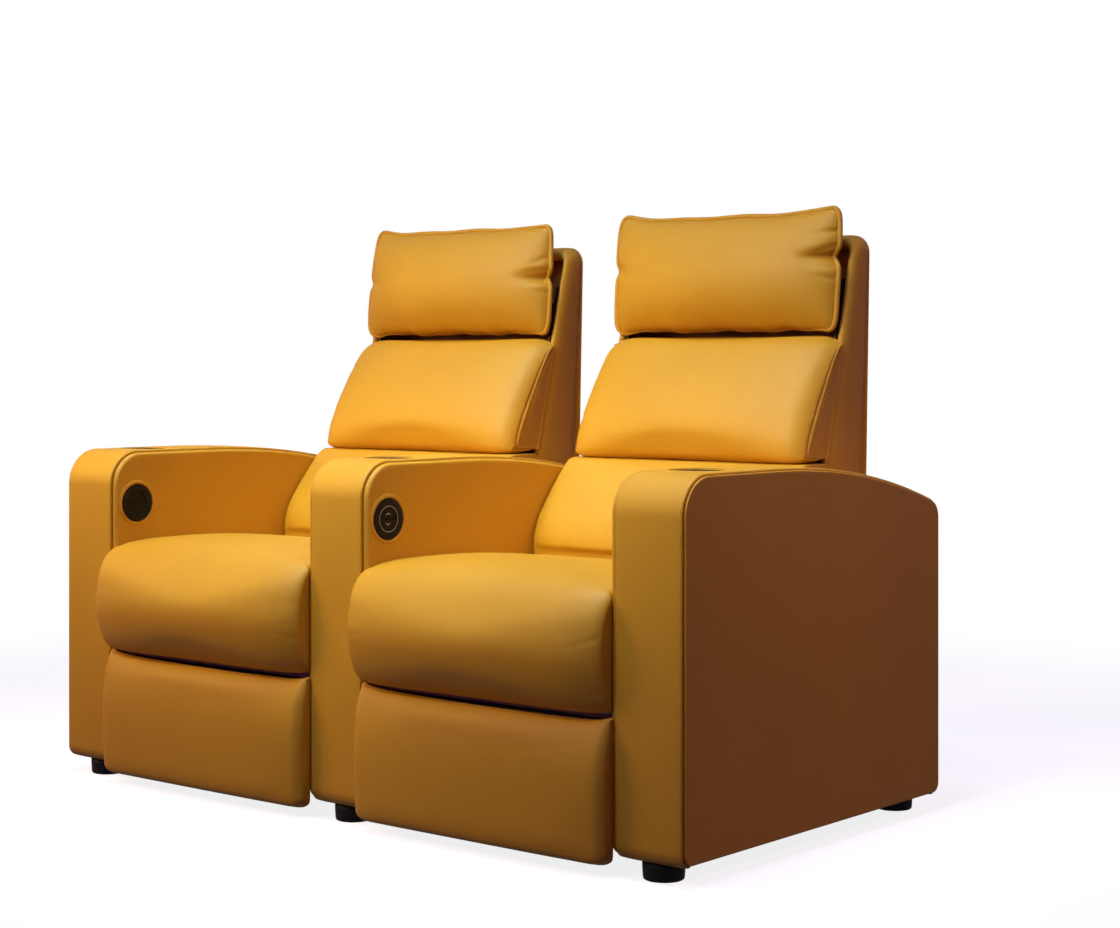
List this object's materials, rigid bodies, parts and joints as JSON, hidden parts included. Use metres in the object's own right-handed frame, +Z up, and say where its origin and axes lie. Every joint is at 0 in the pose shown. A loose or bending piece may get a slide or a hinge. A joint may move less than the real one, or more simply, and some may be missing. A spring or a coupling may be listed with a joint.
{
  "type": "reclining loveseat",
  "caption": "Two-seat padded leather loveseat with powered footrests, reclining backs, head pillows, cup holders in the arms and round push-button controls.",
  "frame": {"origin": "on the floor under the middle of the whole loveseat, footrests closed and backs up", "axes": "+Z up; the seats face -Y; +X is to the right as seen from in front"},
  "size_m": [1.55, 0.8645, 1.1353],
  "materials": {
    "leather": "satin",
    "black_plastic": "satin",
    "button_plastic": "satin",
    "plywood": "matte",
    "black_steel": "satin",
    "bright_steel": "satin"
  },
  "bodies": {
    "frame": {"arm_left_core": "plywood", "arm_left_band": "leather", "arm_left_panel_left": "leather", "arm_left_panel_right": "leather", "arm_left_cup_holder": "black_plastic", "arm_left_foot_front": "black_plastic", "arm_left_foot_rear": "black_plastic", "arm_middle_core": "plywood", "arm_middle_band": "leather", "arm_middle_panel_left": "leather", "arm_middle_panel_right": "leather", "arm_middle_cup_holder": "black_plastic", "arm_middle_foot_front": "black_plastic", "arm_middle_foot_rear": "black_plastic", "arm_right_core": "plywood", "arm_right_band": "leather", "arm_right_panel_left": "leather", "arm_right_panel_right": "leather", "arm_right_cup_holder": "black_plastic", "arm_right_foot_front": "black_plastic", "arm_right_foot_rear": "black_plastic", "control_left_bezel": "black_plastic", "control_right_bezel": "black_plastic", "left_base_frame": "black_steel", "left_seat_deck": "plywood", "left_seat_cushion": "leather", "left_motor_housing": "black_plastic", "right_base_frame": "black_steel", "right_seat_deck": "plywood", "right_seat_cushion": "leather", "right_motor_housing": "black_plastic"},
    "left_crank": {"left_footrest_crank": "black_steel"},
    "left_links": {"left_front_link_left": "black_steel", "left_front_link_right": "black_steel"},
    "left_footrest": {"left_footrest_board": "plywood", "left_footrest_pad": "leather"},
    "left_back": {"left_back_frame": "black_steel", "left_back_shell": "leather", "left_lumbar_cushion": "leather", "left_back_cushion": "leather", "left_head_pillow": "leather"},
    "left_rod": {"left_motor_rod": "bright_steel"},
    "right_crank": {"right_footrest_crank": "black_steel"},
    "right_links": {"right_front_link_left": "black_steel", "right_front_link_right": "black_steel"},
    "right_footrest": {"right_footrest_board": "plywood", "right_footrest_pad": "leather"},
    "right_back": {"right_back_frame": "black_steel", "right_back_shell": "leather", "right_lumbar_cushion": "leather", "right_back_cushion": "leather", "right_head_pillow": "leather"},
    "right_rod": {"right_motor_rod": "bright_steel"},
    "control_left_upper": {"control_left_button_upper": "button_plastic"},
    "control_left_lower": {"control_left_button_lower": "button_plastic"},
    "control_right_upper": {"control_right_button_upper": "button_plastic"},
    "control_right_lower": {"control_right_button_lower": "button_plastic"}
  },
  "joints": [
    {"name": "left_footrest_open", "type": "hinge", "parent": "frame", "child": "left_crank", "pos_m": [-0.35, -0.0905, 0.203], "axis": [-1, 0, 0], "range_deg": [0, 90]},
    {"name": "left_link_turn", "type": "hinge", "parent": "left_crank", "child": "left_links", "pos_m": [-0.35, -0.0025, 0.054], "axis": [1, 0, 0], "range_deg": [0, 81.01]},
    {"name": "left_footrest_turn", "type": "hinge", "parent": "left_links", "child": "left_footrest", "pos_m": [-0.35, -0.3365, 0.214], "axis": [-1, 0, 0], "range_deg": [0, 72.01]},
    {"name": "left_motor_stroke", "type": "slide", "parent": "frame", "child": "left_rod", "axis": [0, -1, 0], "range_m": [0, 0.099]},
    {"name": "left_recline", "type": "hinge", "parent": "frame", "child": "left_back", "pos_m": [-0.35, 0.2165, 0.235], "axis": [-1, 0, 0], "range_deg": [0, 35]},
    {"name": "right_footrest_open", "type": "hinge", "parent": "frame", "child": "right_crank", "pos_m": [0.35, -0.0905, 0.203], "axis": [-1, 0, 0], "range_deg": [0, 90]},
    {"name": "right_link_turn", "type": "hinge", "parent": "right_crank", "child": "right_links", "pos_m": [0.35, -0.0025, 0.054], "axis": [1, 0, 0], "range_deg": [0, 81.01]},
    {"name": "right_footrest_turn", "type": "hinge", "parent": "right_links", "child": "right_footrest", "pos_m": [0.35, -0.3365, 0.214], "axis": [-1, 0, 0], "range_deg": [0, 72.01]},
    {"name": "right_motor_stroke", "type": "slide", "parent": "frame", "child": "right_rod", "axis": [0, -1, 0], "range_m": [0, 0.099]},
    {"name": "right_recline", "type": "hinge", "parent": "frame", "child": "right_back", "pos_m": [0.35, 0.2165, 0.235], "axis": [-1, 0, 0], "range_deg": [0, 35]},
    {"name": "control_left_upper_press", "type": "slide", "parent": "frame", "child": "control_left_upper", "axis": [-1, 0, 0], "range_m": [0, 0.0015], "stiffness_N_per_m": 1500, "springref_m": -0.0007},
    {"name": "control_left_lower_press", "type": "slide", "parent": "frame", "child": "control_left_lower", "axis": [-1, 0, 0], "range_m": [0, 0.0015], "stiffness_N_per_m": 1500, "springref_m": -0.0007},
    {"name": "control_right_upper_press", "type": "slide", "parent": "frame", "child": "control_right_upper", "axis": [-1, 0, 0], "range_m": [0, 0.0015], "stiffness_N_per_m": 1500, "springref_m": -0.0007},
    {"name": "control_right_lower_press", "type": "slide", "parent": "frame", "child": "control_right_lower", "axis": [-1, 0, 0], "range_m": [0, 0.0015], "stiffness_N_per_m": 1500, "springref_m": -0.0007}
  ],
  "couplings": [
    {"joint": "left_link_turn", "follows": "left_footrest_open", "ratio": 0.9},
    {"joint": "left_footrest_turn", "follows": "left_footrest_open", "ratio": 0.8},
    {"joint": "left_motor_stroke", "follows": "left_footrest_open", "m_per_rad": 0.06301},
    {"joint": "right_link_turn", "follows": "right_footrest_open", "ratio": 0.9},
    {"joint": "right_footrest_turn", "follows": "right_footrest_open", "ratio": 0.8},
    {"joint": "right_motor_stroke", "follows": "right_footrest_open", "m_per_rad": 0.06301}
  ]
}
